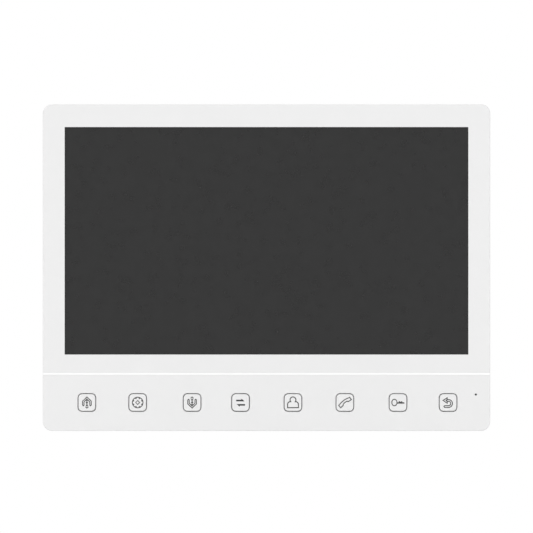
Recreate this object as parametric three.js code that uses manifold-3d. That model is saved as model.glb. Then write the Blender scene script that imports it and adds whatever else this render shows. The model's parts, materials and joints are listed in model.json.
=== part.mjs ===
// A wall-mounted video intercom monitor, in millimetres.
// X runs to the right, Z up, and the front faces -Y. The wall is the plane y = 0, and the origin is the
// middle of the wall bracket's back face.
import * as THREE from "three";
import { mergeVertices } from "three/addons/utils/BufferGeometryUtils.js";
import Module from "manifold-3d";

const wasm = await Module();
wasm.setup();

// ---------------------------------------------------------------- driving dimensions

// Case
const BODY_HALF_WIDTH = 123.3;
const BODY_HALF_HEIGHT = 90.05;
const CORNER_RADIUS = 5;
const FRONT_Y = -25;
const FRONT_SHELL_BACK_Y = -13;
const FRONT_WALL = 2.4;
const FRONT_INNER_Y = FRONT_Y + FRONT_WALL;
const FRONT_EDGE_ROUND = 0.4;
const COVER_FRONT_Y = -12.7;
const COVER_BACK_Y = -0.6;
const COVER_WALL = 2.2;
const COVER_EDGE_ROUND = 3;
const LIP_FRONT_Y = -15.2;
const LIP_THICKNESS = 1.4;
const LIP_GAP = 0.3;
const LIP_ROOT = 2.5; // how far the lip's root runs back along the cover's wall
const CLOSE_FIT = 0.05; // between fixed pieces that touch

// Screen
const SCREEN_HALF_WIDTH = 111.24;
const SCREEN_BOTTOM = -47.95;
const SCREEN_TOP = 77.43;
const PANEL_HALF_WIDTH = 114.5;
const PANEL_BOTTOM = -51.2;
const PANEL_TOP = 79.6;
const PANEL_FRONT_Y = -23.4;
const PANEL_BACK_Y = -21.8;
const REBATE_GAP = 0.4; // round the display panel
const GASKET = { setBack: 0.8, gap: 0.02 };
const BACKLIGHT_FRONT_Y = -21.5;
const BACKLIGHT_BACK_Y = -19.3;
const REBATE_Y = -23.7; // back of the thin lip round the screen
const TRAY_FLOOR_Y = -19;
const TRAY_SHEET = 0.8;
const TRAY_RIM_Y = -21.4;
const TRAY_GAP = 0.3; // round the display panel
const TRAY_EARS = [[-1, 60], [1, 60], [-1, -35], [1, -35]]; // side and height
const TRAY_EAR = { x: 118.2, edge: 2, halfHeight: 5, holeRadius: 1.2 };
const TRAY_BOSS = { radius: 2.2, holeRadius: 0.9 };
const FLEX_NOTCH_HALF_WIDTH = 22;

// Strip between the bezel and the key panel
const TRIM_TOP = -58.05;
const TRIM_BOTTOM = -59.15;
const TRIM_PROUD = 0.12;
const TRIM_GAP = 0.03;
const TRIM_FLANGE = { halfWidth: 116, overlap: 2.4, thickness: 1.1 };
const TRIM_WEB_FRONT_Y = -23.8;
const TRIM_CROWN_DEPTH = 1;

// Keys
const KEY_NAMES = ["up", "settings", "down", "switch", "person", "call", "unlock", "return"];
const KEY_X = [-99, -71, -41, -14.3, 14.6, 43.2, 72.5, 100.1];
const KEY_Z = -74.4;
const KEYCAP_HALF = 4.65;
const KEYCAP_RADIUS = 2;
const KEY_GAP = 0.5;
const KEYCAP_FRONT_Y = -25.6;
const KEYCAP_EDGE = 0.35;
const KEYCAP_FLANGE_HALF = 6.2;
const KEYCAP_FLANGE_CORNER = 1.5;
const KEYCAP_FLANGE_Y = [-22.3, -21.3];
const KEYCAP_POST_RADIUS = 2;
const KEYCAP_POST_BACK_Y = -19.6;
const PLUNGER_Y = [-19.55, -16.9];
const PLUNGER_RADIUS = 1.7;
const SWITCH_Y = [-18.4, -15.05];
const SWITCH_HALF = 3.1;
const SWITCH_BORE_RADIUS = 1.9;
const SWITCH_BORE_BACK_Y = -16.1;

// Boards
const KEY_BOARD_X = [-108, 118.8];
const KEY_BOARD_Y = [-15, -13.8];
const KEY_BOARD_Z = [-79.5, -63.5];
const KEY_BOARD_SCREW_X = [-85, 0, 86.5];
const KEY_BOARD_BOSS = { radius: 2.5, holeRadius: 1.15 };
const MAIN_BOARD_Y = [-16.2, -14.6];
const MAIN_BOARD_HALF_WIDTH = 72;
const MAIN_BOARD_HALF_HEIGHT = 46;
const BOARD_HOLE_RADIUS = 1.3;
const STANDOFFS = [[-66, -40], [66, -40], [-66, 40], [66, 40]];
const STANDOFF = { radius: 2.5, holeRadius: 1.1 };
const CHIP = { x: [24, 41], z: [12, 29], height: 1.4 };
const CAPACITOR = { x: -20, z: 22, radius: 4, height: 6.5 };
const INDUCTOR = { x: [-48, -38], z: [16, 26], height: 4.5 };

// Flat cables between the boards: their paths are [y, z] points
const FLEX_THICKNESS = 0.25;
const LCD_FLEX = {
  x: 0,
  width: 36,
  path: [
    [-22.3, -51.5], [-22.3, -53.6], [-21.9, -54.4], [-21, -54.8],
    [-15.4, -54.8], [-14.5, -54.4], [-14.1, -53.6], [-14.1, -43],
  ],
};
const KEY_FLEX = {
  x: -56,
  width: 14,
  path: [[-13.4, -69], [-13.4, -60], [-13.7, -56.5], [-14.15, -53], [-14.15, -43]],
};

// Microphone
const MIC_X = 115.4;
const MIC_Z = -70;
const MIC_HOLE_RADIUS = 0.58;
const MIC_BOOT = { radius: 3.7, y: [-22.55, -15.05], soundHole: 1 };
const MIC_CAPSULE = { radius: 3, y: [-21.5, -18.8] };

// Case screws
const CASE_SCREW_X = [-90, 0, 90];
const CASE_SCREW_Z = 84;
const CASE_SCREW_SEAT_Y = -11.7;
const CASE_BOSS = { radius: 2.8, holeRadius: 1.4 };
const CASE_PILLAR = { radius: 4.1, headBore: 2.6, shankBore: 1.5 };
const CASE_SCREW = { headRadius: 2.3, headHeight: 1.7, shankRadius: 1.2, length: 9 };
const KEY_BOARD_SCREW = { headRadius: 2, headHeight: 1.2, shankRadius: 1, length: 6 };

// Wall bracket and its recess in the rear cover
const BRACKET_HALF_WIDTH = 62;
const BRACKET_HALF_HEIGHT = 46;
const BRACKET_CORNER = 6;
const BRACKET_SHEET = 1.5;
const BRACKET_WINDOW = { halfWidth: 31, bottom: -40, top: -9, corner: 3 };
const WALL_SCREW_SLOT = { width: 3.9, height: 9, z: 4, x: [-41.75, -30, 30, 41.75] };
const BEAD = { halfLength: 33, halfWidth: 1.6, ridgeWall: 0.7, depth: 0.8, slant: 0.5, z: [30, 36] };
const HOOK_X = [-48, 48];
const HOOK_Z = [-27, 26]; // top of each hook's neck
const HOOK_HALF_WIDTH = 6;
const HOOK_TONGUE = 7.5;
const HOOK_BACK_Y = -5.7;
const HOOK_BLANK = { sideGap: 0.4, above: 4 }; // the hole in the plate that each hook was bent out of
const HOOK_SLOT = { sideGap: 0.5, below: 10.2, above: 0.3 }; // the hole in the cover for each hook
const RECESS = { halfWidth: 64, bottom: -56, top: 47.5, floorY: -2.9, floorWall: COVER_WALL };
const BAY = { halfWidth: 34, bottom: -42, top: -8, floorY: -9.5, floorWall: 1.8 };
const DISH_CORNER = 3;

// Sockets in the cable bay
const BUS_SOCKET_X = [-24, -8, 8, 24];
const BUS_SOCKET_Z = -33;
const BUS_SOCKET_HALF_WIDTH = 6.2;
const POWER_SOCKET_Z = -18;
const POWER_SOCKET_HALF_WIDTH = 3.75;
const SOCKET_HALF_HEIGHT = 2.85;
const SOCKET_WALL = 0.95;
const SOCKET_FLOOR = 1.3;
const SOCKET_MOUTH_Y = -7.4;
const SOCKET_GAP = 0.3; // in its opening in the cover
const SOCKET_SLIT = { fromEnd: 2.1, halfWidth: 0.5, above: 2.5, overlap: 0.5 };

// Loudspeaker
const SPEAKER_X = -95;
const SPEAKER_Z = -25;
const SPEAKER_RADIUS = 18;
const SPEAKER_RING = { wall: 1.5, gap: 0.3, frontY: -6.5 };
const SPEAKER_GASKET = { outer: 17.8, inner: 15.6, y: [-3.9, -2.85] };

// Slots through the rear cover
const VENT = { width: 1.8, height: 15, pitch: 4, count: 9, z: 66, x: [-62, 30] };
const GRILLE = { height: 1.8, pitch: 3.6, rows: 7, radius: 13.5 };

const ARC_STEPS = 3; // an outline's quarter turn takes twice as many straight steps
const KEY_ARC_STEPS = 2; // the same, on the keys and their holes
const SMALL_ARC_STEPS = 1; // the same, in small slots and on hidden corners
const HOLE_SIDES = 12;
const ROD_SIDES = 16;
const ROUND_SIDES = 24;
const SPEAKER_SIDES = 28;
const SHANK_SIDES = 10;
const HAIR = 0.01; // keeps a round end's radius just under half the slot's width
const PAST = 1; // how far a cutter runs past the face it cuts

// ---------------------------------------------------------------- solids

// A closed geometry as a solid that can be joined and cut.
function solidFrom(geometry) {
  const bare = geometry.clone();
  bare.deleteAttribute("normal");
  bare.deleteAttribute("uv");
  const merged = mergeVertices(bare, 1e-4);
  return new wasm.Manifold(
    new wasm.Mesh({
      numProp: 3,
      vertProperties: merged.attributes.position.array,
      triVerts: new Uint32Array(merged.index.array),
    }),
  );
}

function block(x0, x1, y0, y1, z0, z1) {
  const box = new THREE.BoxGeometry(x1 - x0, y1 - y0, z1 - z0);
  box.translate((x0 + x1) / 2, (y0 + y1) / 2, (z0 + z1) / 2);
  return solidFrom(box);
}

// A round bar along Y.
function rod(x, z, radius, [y0, y1], sides = ROD_SIDES) {
  const cylinder = new THREE.CylinderGeometry(radius, radius, y1 - y0, sides);
  cylinder.translate(x, (y0 + y1) / 2, z);
  return solidFrom(cylinder);
}

// A solid of revolution about an axis along Y, from its [radius, y] outline.
function turned(x, z, outline, sides = ROUND_SIDES) {
  const points = outline.map(([radius, y]) => new THREE.Vector2(radius, y));
  const lathe = new THREE.LatheGeometry(points, sides);
  lathe.translate(x, 0, z);
  return solidFrom(lathe);
}

function roundedRectangle(x0, x1, z0, z1, radius) {
  const shape = new THREE.Shape();
  shape.absarc(x1 - radius, z0 + radius, radius, -Math.PI / 2, 0);
  shape.absarc(x1 - radius, z1 - radius, radius, 0, Math.PI / 2);
  shape.absarc(x0 + radius, z1 - radius, radius, Math.PI / 2, Math.PI);
  shape.absarc(x0 + radius, z0 + radius, radius, Math.PI, 1.5 * Math.PI);
  shape.closePath();
  return shape;
}

// An outline drawn in X and Z, as a plate from y0 to y1. Its front and back edges are rounded if asked.
function plate(shape, [y0, y1], { round = 0, roundSteps = 3, arcSteps = ARC_STEPS } = {}) {
  const extrusion = new THREE.ExtrudeGeometry(shape, {
    depth: y1 - y0 - 2 * round,
    curveSegments: arcSteps,
    bevelEnabled: round > 0,
    bevelThickness: round,
    bevelSize: round,
    bevelOffset: -round,
    bevelSegments: roundSteps,
  });
  extrusion.rotateX(Math.PI / 2);
  extrusion.translate(0, y1 - round, 0);
  return solidFrom(extrusion);
}

// A slot's outline, with round ends.
function slotOutline(x, z, width, height) {
  const radius = Math.min(width, height) / 2 - HAIR;
  return roundedRectangle(x - width / 2, x + width / 2, z - height / 2, z + height / 2, radius);
}

// The case's outline, moved in by an inset.
function caseOutline(inset) {
  const x = BODY_HALF_WIDTH - inset;
  const z = BODY_HALF_HEIGHT - inset;
  return roundedRectangle(-x, x, -z, z, Math.max(CORNER_RADIUS - inset, 1));
}

function joined(solids) {
  return solids.reduce((whole, next) => whole.add(next));
}

function cutBy(solid, cutters) {
  return cutters.reduce((whole, cutter) => whole.subtract(cutter), solid);
}

// ---------------------------------------------------------------- meshes

function finish(colour, roughness, metalness = 0) {
  return new THREE.MeshStandardMaterial({ color: colour, roughness, metalness });
}

// Colour, roughness and metalness
const WHITE_PLASTIC = [0xeeeeee, 0.5];
const GLOSSY_WHITE = [0xffffff, 0.3];
const SCREEN = [0x393939, 0.25];
const FOAM = [0x26272a, 0.95];
const BACKLIGHT_FILM = [0xf2f2ee, 0.6];
const STEEL = [0xb9bdc1, 0.4, 0.9];
const BOARD = [0x1f5a34, 0.55];
const BLACK_PLASTIC = [0x1b1c1e, 0.5];
const SWITCH_PLASTIC = [0x2a2a2c, 0.55];
const IVORY_PLASTIC = [0xe8e2d0, 0.5];
const ALUMINIUM = [0x9aa0a6, 0.35, 0.8];
const FERRITE = [0x4a4a4d, 0.6];
const AMBER_FILM = [0xc07a2a, 0.5];
const PALE_FILM = [0xdfe3e6, 0.5];
const RUBBER = [0x202020, 0.8];
const CAPSULE_METAL = [0xaab0b4, 0.35, 0.9];
const BLACK_PAPER = [0x222222, 0.85];
const MAGNET = [0x55585c, 0.5, 0.7];

function addPiece(parent, name, solid, look) {
  const made = solid.getMesh();
  const geometry = new THREE.BufferGeometry();
  geometry.setAttribute("position", new THREE.BufferAttribute(made.vertProperties, 3));
  geometry.setIndex(new THREE.BufferAttribute(made.triVerts, 1));
  geometry.computeVertexNormals();
  const mesh = new THREE.Mesh(geometry, finish(...look));
  mesh.name = name;
  parent.add(mesh);
}

function subgroup(parent, x = 0, z = 0) {
  const group = new THREE.Group();
  group.position.set(x, 0, z);
  parent.add(group);
  return group;
}

// ---------------------------------------------------------------- front of the case

// A screw boss that stands on the front wall's inner face, with its pilot hole.
function frontBoss(x, z, { radius, holeRadius }, backY) {
  const boss = rod(x, z, radius, [FRONT_INNER_Y - CLOSE_FIT, backY]);
  return boss.subtract(rod(x, z, holeRadius, [FRONT_INNER_Y, backY + PAST], HOLE_SIDES));
}

function caseBosses(z) {
  return CASE_SCREW_X.map((x) => frontBoss(x, z, CASE_BOSS, LIP_FRONT_Y - LIP_GAP));
}

// The whole front shell, before it is parted at the strip.
function frontShell() {
  const outer = plate(caseOutline(0), [FRONT_Y, FRONT_SHELL_BACK_Y + 2 * PAST], { round: FRONT_EDGE_ROUND });
  const behind = plate(caseOutline(-PAST), [FRONT_SHELL_BACK_Y, FRONT_SHELL_BACK_Y + 3 * PAST]);
  const hollow = plate(caseOutline(FRONT_WALL), [FRONT_INNER_Y, FRONT_SHELL_BACK_Y + PAST]);
  return cutBy(outer, [behind, hollow]);
}

// Everything between two heights, wider and deeper than the case.
function slice(bottom, top) {
  const reach = BODY_HALF_WIDTH + 2 * PAST;
  return block(-reach, reach, FRONT_Y - 2 * PAST, PAST, bottom, top);
}

function frontBezel() {
  const upper = frontShell().intersect(slice(TRIM_TOP + TRIM_GAP, BODY_HALF_HEIGHT + PAST));
  const pastWallY = FRONT_INNER_Y + PAST;
  const window = block(
    -SCREEN_HALF_WIDTH, SCREEN_HALF_WIDTH, FRONT_Y - PAST, pastWallY, SCREEN_BOTTOM, SCREEN_TOP,
  );
  const rebate = block(
    -PANEL_HALF_WIDTH - REBATE_GAP, PANEL_HALF_WIDTH + REBATE_GAP, REBATE_Y, pastWallY,
    PANEL_BOTTOM - REBATE_GAP, PANEL_TOP + REBATE_GAP,
  );
  const trayBosses = TRAY_EARS.map(([side, z]) =>
    frontBoss(side * TRAY_EAR.x, z, TRAY_BOSS, TRAY_FLOOR_Y - CLOSE_FIT),
  );
  return joined([cutBy(upper, [window, rebate]), ...caseBosses(CASE_SCREW_Z), ...trayBosses]);
}

function keyPanel() {
  const lower = frontShell().intersect(slice(-BODY_HALF_HEIGHT - PAST, TRIM_BOTTOM - TRIM_GAP));
  const holeHalf = KEYCAP_HALF + KEY_GAP;
  const holeCorner = KEYCAP_RADIUS + KEY_GAP;
  const wall = [FRONT_Y - PAST, FRONT_INNER_Y + PAST];
  const keyHoles = KEY_X.map((x) => {
    const outline = roundedRectangle(
      x - holeHalf, x + holeHalf, KEY_Z - holeHalf, KEY_Z + holeHalf, holeCorner,
    );
    return plate(outline, wall, { arcSteps: KEY_ARC_STEPS });
  });
  const micHole = rod(MIC_X, MIC_Z, MIC_HOLE_RADIUS, wall, HOLE_SIDES);
  const boardBosses = KEY_BOARD_SCREW_X.map((x) =>
    frontBoss(x, KEY_Z, KEY_BOARD_BOSS, KEY_BOARD_Y[0] - CLOSE_FIT),
  );
  return joined([
    cutBy(lower, [...keyHoles, micHole]), ...caseBosses(-CASE_SCREW_Z), ...boardBosses,
  ]);
}

// The bright strip, with a flange behind the front wall that joins the bezel to the key panel.
function dividerTrim() {
  const strip = frontShell().intersect(slice(TRIM_BOTTOM, TRIM_TOP));
  const { halfWidth, overlap, thickness } = TRIM_FLANGE;
  const flangeY = FRONT_INNER_Y + CLOSE_FIT;
  const flange = block(
    -halfWidth, halfWidth, flangeY, flangeY + thickness, TRIM_BOTTOM - overlap, TRIM_TOP + overlap,
  );
  const webBackY = flangeY + thickness / 2;
  const web = block(-halfWidth, halfWidth, TRIM_WEB_FRONT_Y, webBackY, TRIM_BOTTOM, TRIM_TOP);
  const endX = BODY_HALF_WIDTH - FRONT_EDGE_ROUND;
  const crown = block(
    -endX, endX, FRONT_Y - TRIM_PROUD, FRONT_Y + TRIM_CROWN_DEPTH, TRIM_BOTTOM, TRIM_TOP,
  );
  return joined([strip, web, flange, crown]);
}

// ---------------------------------------------------------------- rear cover

// Pillars that carry the case screws, kept inside the cover's outline.
function screwPillars(outer) {
  const lipOutline = plate(caseOutline(FRONT_WALL + LIP_GAP), [LIP_FRONT_Y, COVER_FRONT_Y + PAST]);
  const allowed = outer.add(lipOutline);
  const pillars = CASE_SCREW_X.flatMap((x) =>
    [-CASE_SCREW_Z, CASE_SCREW_Z].map((z) =>
      rod(x, z, CASE_PILLAR.radius, [LIP_FRONT_Y, COVER_BACK_Y - PAST]),
    ),
  );
  return joined(pillars).intersect(allowed);
}

function screwHoles() {
  return CASE_SCREW_X.flatMap((x) =>
    [-CASE_SCREW_Z, CASE_SCREW_Z].flatMap((z) => [
      rod(x, z, CASE_PILLAR.headBore, [CASE_SCREW_SEAT_Y, PAST]),
      rod(x, z, CASE_PILLAR.shankBore, [LIP_FRONT_Y - PAST, PAST], HOLE_SIDES),
    ]),
  );
}

// A ring inside the front shell's wall that lines the two halves up.
function coverLip() {
  const lipInset = FRONT_WALL + LIP_GAP;
  const lip = plate(caseOutline(lipInset), [LIP_FRONT_Y, COVER_FRONT_Y + CLOSE_FIT]);
  const rootBackY = COVER_FRONT_Y + LIP_ROOT;
  const root = plate(caseOutline(COVER_WALL - CLOSE_FIT), [COVER_FRONT_Y, rootBackY]);
  const inside = plate(caseOutline(lipInset + LIP_THICKNESS), [LIP_FRONT_Y - PAST, rootBackY + PAST]);
  return cutBy(lip.add(root), [inside]);
}

// A slot with round ends, cut through the cover's back wall.
function backSlot(x, z, width, height) {
  return plate(slotOutline(x, z, width, height), [COVER_BACK_Y - COVER_WALL - PAST, PAST], {
    arcSteps: SMALL_ARC_STEPS,
  });
}

function backSlots() {
  const slots = [];
  for (const firstX of VENT.x) {
    for (let i = 0; i < VENT.count; i++) {
      slots.push(backSlot(firstX + i * VENT.pitch, VENT.z, VENT.width, VENT.height));
    }
  }
  for (let row = 0; row < GRILLE.rows; row++) {
    const dz = (row - (GRILLE.rows - 1) / 2) * GRILLE.pitch;
    const halfWidth = Math.sqrt(GRILLE.radius ** 2 - dz ** 2);
    slots.push(backSlot(SPEAKER_X, SPEAKER_Z + dz, 2 * halfWidth, GRILLE.height));
  }
  return slots;
}

// A dish pressed into the back wall: the solid that carries it, and the space it leaves.
function sunkenFloor({ halfWidth, bottom, top, floorY, floorWall }) {
  const outside = roundedRectangle(
    -halfWidth - floorWall, halfWidth + floorWall, bottom - floorWall, top + floorWall,
    DISH_CORNER + floorWall,
  );
  const inside = roundedRectangle(-halfWidth, halfWidth, bottom, top, DISH_CORNER);
  return {
    solid: plate(outside, [floorY - floorWall, COVER_BACK_Y]),
    space: plate(inside, [floorY, PAST]),
  };
}

function socketOpening(x, z, halfWidth) {
  const holeX = halfWidth + SOCKET_GAP;
  const holeZ = SOCKET_HALF_HEIGHT + SOCKET_GAP;
  return block(
    x - holeX, x + holeX, BAY.floorY - BAY.floorWall - PAST, BAY.floorY + PAST, z - holeZ, z + holeZ,
  );
}

// A ring on the back wall that holds the loudspeaker.
function speakerRing() {
  const backY = COVER_BACK_Y - COVER_WALL;
  const { wall, gap, frontY } = SPEAKER_RING;
  const bore = SPEAKER_RADIUS + gap;
  const ring = rod(SPEAKER_X, SPEAKER_Z, bore + wall, [frontY, backY + CLOSE_FIT], SPEAKER_SIDES);
  return ring.subtract(rod(SPEAKER_X, SPEAKER_Z, bore, [frontY - PAST, backY], SPEAKER_SIDES));
}

function hookSlot(x, z) {
  const halfWidth = HOOK_HALF_WIDTH + HOOK_SLOT.sideGap;
  const frontY = RECESS.floorY - COVER_WALL - PAST;
  return block(x - halfWidth, x + halfWidth, frontY, PAST, z - HOOK_SLOT.below, z + HOOK_SLOT.above);
}

function rearCover() {
  const uncut = plate(caseOutline(0), [COVER_FRONT_Y - 2 * COVER_EDGE_ROUND, COVER_BACK_Y], {
    round: COVER_EDGE_ROUND,
    roundSteps: 4,
  });
  const inFront = plate(caseOutline(-PAST), [COVER_FRONT_Y - 3 * COVER_EDGE_ROUND, COVER_FRONT_Y]);
  const outer = uncut.subtract(inFront);
  const hollow = plate(caseOutline(COVER_WALL), [COVER_FRONT_Y - PAST, COVER_BACK_Y - COVER_WALL]);
  const recess = sunkenFloor(RECESS);
  const bay = sunkenFloor(BAY);
  const hookSlots = HOOK_X.flatMap((x) => HOOK_Z.map((z) => hookSlot(x, z)));
  const socketOpenings = [
    ...BUS_SOCKET_X.map((x) => socketOpening(x, BUS_SOCKET_Z, BUS_SOCKET_HALF_WIDTH)),
    socketOpening(0, POWER_SOCKET_Z, POWER_SOCKET_HALF_WIDTH),
  ];
  const shell = joined([
    outer.subtract(hollow), recess.solid, bay.solid, coverLip(), screwPillars(outer), speakerRing(),
  ]);
  return cutBy(shell, [
    recess.space, bay.space, ...hookSlots, ...socketOpenings, ...screwHoles(), ...backSlots(),
  ]);
}

// ---------------------------------------------------------------- wall bracket

// A hook bent out of the plate: a neck, and a tongue that points up behind the cover's wall.
function hook(x, z) {
  const sides = [x - HOOK_HALF_WIDTH, x + HOOK_HALF_WIDTH];
  const frontY = HOOK_BACK_Y - BRACKET_SHEET;
  const bottom = z - BRACKET_SHEET;
  const neck = block(...sides, frontY, -CLOSE_FIT, bottom, z);
  const tongue = block(...sides, frontY, HOOK_BACK_Y, bottom, z + HOOK_TONGUE);
  return neck.add(tongue);
}

// A level bead with slanted sides, as the stiffening ridge or the groove behind it.
function pressedBead(z, halfWidth, [y0, y1]) {
  const corner = 0.6 * halfWidth;
  const outline = roundedRectangle(
    -BEAD.halfLength, BEAD.halfLength, z - halfWidth, z + halfWidth, corner,
  );
  return plate(outline, [y0, y1], { round: BEAD.slant, roundSteps: 1, arcSteps: SMALL_ARC_STEPS });
}

function wallBracket() {
  const outline = roundedRectangle(
    -BRACKET_HALF_WIDTH, BRACKET_HALF_WIDTH, -BRACKET_HALF_HEIGHT, BRACKET_HALF_HEIGHT, BRACKET_CORNER,
  );
  const sheet = plate(outline, [-BRACKET_SHEET, 0]);
  const through = [-BRACKET_SHEET - PAST, PAST];
  const { halfWidth: windowHalf, bottom, top, corner } = BRACKET_WINDOW;
  const window = plate(roundedRectangle(-windowHalf, windowHalf, bottom, top, corner), through);
  const { width, height, z: slotZ } = WALL_SCREW_SLOT;
  const screwSlots = WALL_SCREW_SLOT.x.map((x) =>
    plate(slotOutline(x, slotZ, width, height), through, { arcSteps: SMALL_ARC_STEPS }),
  );
  const hooks = HOOK_X.flatMap((x) => HOOK_Z.map((z) => hook(x, z)));
  const ridges = BEAD.z.map((z) =>
    pressedBead(z, BEAD.halfWidth + BEAD.ridgeWall, [-BRACKET_SHEET - BEAD.depth, -CLOSE_FIT]),
  );
  const grooves = BEAD.z.map((z) => pressedBead(z, BEAD.halfWidth, [-BEAD.depth, BEAD.depth]));
  const blankHalf = HOOK_HALF_WIDTH + HOOK_BLANK.sideGap;
  const blankTop = HOOK_TONGUE + HOOK_BLANK.above;
  const blanks = HOOK_X.flatMap((x) =>
    HOOK_Z.map((z) =>
      block(x - blankHalf, x + blankHalf, ...through, z + CLOSE_FIT, z + blankTop),
    ),
  );
  const cut = cutBy(sheet, [window, ...screwSlots, ...blanks]).add(joined([...hooks, ...ridges]));
  return cutBy(cut, grooves);
}

// ---------------------------------------------------------------- display

// A shallow sheet-steel tray, with an ear for each screw and a standoff for each corner of the main board.
function lcdTray() {
  const x = PANEL_HALF_WIDTH + TRAY_GAP;
  const bottom = PANEL_BOTTOM - TRAY_GAP;
  const top = PANEL_TOP + TRAY_GAP;
  const rimY = TRAY_RIM_Y - PAST;
  const floorBackY = TRAY_FLOOR_Y + TRAY_SHEET;
  const boardY = MAIN_BOARD_Y[0];
  const outer = block(
    -x - TRAY_SHEET, x + TRAY_SHEET, TRAY_RIM_Y, floorBackY, bottom - TRAY_SHEET, top + TRAY_SHEET,
  );
  const inside = block(-x, x, rimY, TRAY_FLOOR_Y, bottom, top);
  const flexNotch = block(
    -FLEX_NOTCH_HALF_WIDTH, FLEX_NOTCH_HALF_WIDTH, rimY, TRAY_FLOOR_Y,
    bottom - 2 * TRAY_SHEET, bottom + PAST,
  );
  const ears = TRAY_EARS.map(([side, z]) => {
    const reach = [side * x, side * (TRAY_EAR.x + TRAY_EAR.edge)].sort((a, b) => a - b);
    return block(...reach, TRAY_FLOOR_Y, floorBackY, z - TRAY_EAR.halfHeight, z + TRAY_EAR.halfHeight);
  });
  const earHoles = TRAY_EARS.map(([side, z]) =>
    rod(side * TRAY_EAR.x, z, TRAY_EAR.holeRadius, [TRAY_FLOOR_Y - PAST, floorBackY + PAST], HOLE_SIDES),
  );
  const standoffs = STANDOFFS.map(([sx, sz]) =>
    rod(sx, sz, STANDOFF.radius, [floorBackY - CLOSE_FIT, boardY - CLOSE_FIT]),
  );
  const standoffHoles = STANDOFFS.map(([sx, sz]) =>
    rod(sx, sz, STANDOFF.holeRadius, [TRAY_FLOOR_Y - PAST, boardY + PAST], HOLE_SIDES),
  );
  const sheet = cutBy(outer, [inside, flexNotch]);
  return cutBy(joined([sheet, ...ears, ...standoffs]), [...earHoles, ...standoffHoles]);
}

function lcdPanel() {
  return block(-PANEL_HALF_WIDTH, PANEL_HALF_WIDTH, PANEL_FRONT_Y, PANEL_BACK_Y, PANEL_BOTTOM, PANEL_TOP);
}

function backlightUnit() {
  const inset = 0.3;
  return block(
    -PANEL_HALF_WIDTH + inset, PANEL_HALF_WIDTH - inset, BACKLIGHT_FRONT_Y, BACKLIGHT_BACK_Y,
    PANEL_BOTTOM + inset, PANEL_TOP - inset,
  );
}

// A thin foam frame between the lip round the screen and the display panel.
function screenGasket() {
  const y = [REBATE_Y + GASKET.gap, PANEL_FRONT_Y - GASKET.gap];
  const insideX = SCREEN_HALF_WIDTH + GASKET.setBack;
  const inside = block(
    -insideX, insideX, y[0] - PAST, y[1] + PAST, SCREEN_BOTTOM - GASKET.setBack, SCREEN_TOP + GASKET.setBack,
  );
  return block(-PANEL_HALF_WIDTH, PANEL_HALF_WIDTH, ...y, PANEL_BOTTOM, PANEL_TOP).subtract(inside);
}

// A flat cable of constant thickness along a path of [y, z] points, extruded across its width.
function flatCable({ x, width, path }) {
  const spine = path.map(([y, z]) => new THREE.Vector2(y, z));
  const normals = spine.map((point, i) => {
    const before = spine[Math.max(i - 1, 0)];
    const after = spine[Math.min(i + 1, spine.length - 1)];
    const along = after.clone().sub(before).normalize();
    return new THREE.Vector2(-along.y, along.x).multiplyScalar(FLEX_THICKNESS / 2);
  });
  const near = spine.map((point, i) => point.clone().add(normals[i]));
  const far = spine.map((point, i) => point.clone().sub(normals[i])).reverse();
  const outline = new THREE.Shape([...near, ...far]);
  const strip = new THREE.ExtrudeGeometry(outline, { depth: width, bevelEnabled: false });
  // The outline's own axes are Y and Z; turn it so that its depth runs along X.
  const turn = new THREE.Matrix4().makeBasis(
    new THREE.Vector3(0, 1, 0), new THREE.Vector3(0, 0, 1), new THREE.Vector3(1, 0, 0),
  );
  strip.applyMatrix4(turn);
  strip.translate(x - width / 2, 0, 0);
  return solidFrom(strip);
}

// ---------------------------------------------------------------- boards

const BOARD_TOP_Y = MAIN_BOARD_Y[1] + CLOSE_FIT;

function boardHole(x, z, [y0, y1]) {
  return rod(x, z, BOARD_HOLE_RADIUS, [y0 - PAST, y1 + PAST], HOLE_SIDES);
}

function keyBoard() {
  const board = block(...KEY_BOARD_X, ...KEY_BOARD_Y, ...KEY_BOARD_Z);
  return cutBy(board, KEY_BOARD_SCREW_X.map((x) => boardHole(x, KEY_Z, KEY_BOARD_Y)));
}

function mainBoard() {
  const x = MAIN_BOARD_HALF_WIDTH;
  const z = MAIN_BOARD_HALF_HEIGHT;
  const board = block(-x, x, ...MAIN_BOARD_Y, -z, z);
  return cutBy(board, STANDOFFS.map(([holeX, holeZ]) => boardHole(holeX, holeZ, MAIN_BOARD_Y)));
}

// A part that stands on the main board's back.
function chip({ x, z, height }) {
  return block(...x, BOARD_TOP_Y, BOARD_TOP_Y + height, ...z);
}

function can({ x, z, radius, height }) {
  return rod(x, z, radius, [BOARD_TOP_Y, BOARD_TOP_Y + height], ROUND_SIDES);
}

// An open-topped socket that stands on the board and faces the wall.
function socket(halfWidth) {
  const z = SOCKET_HALF_HEIGHT;
  const pastMouthY = SOCKET_MOUTH_Y + PAST;
  const insideX = halfWidth - SOCKET_WALL;
  const insideZ = z - SOCKET_WALL;
  const shell = block(-halfWidth, halfWidth, BOARD_TOP_Y, SOCKET_MOUTH_Y, -z, z);
  const hollow = block(-insideX, insideX, BOARD_TOP_Y + SOCKET_FLOOR, pastMouthY, -insideZ, insideZ);
  // Two slits in the long wall that polarise the plug.
  const slits = [-1, 1].map((side) => {
    const middle = side * (halfWidth - SOCKET_SLIT.fromEnd);
    return block(
      middle - SOCKET_SLIT.halfWidth, middle + SOCKET_SLIT.halfWidth,
      BOARD_TOP_Y + SOCKET_SLIT.above, pastMouthY, insideZ - SOCKET_SLIT.overlap, z + PAST,
    );
  });
  return cutBy(shell, [hollow, ...slits]);
}

// ---------------------------------------------------------------- keys

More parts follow.
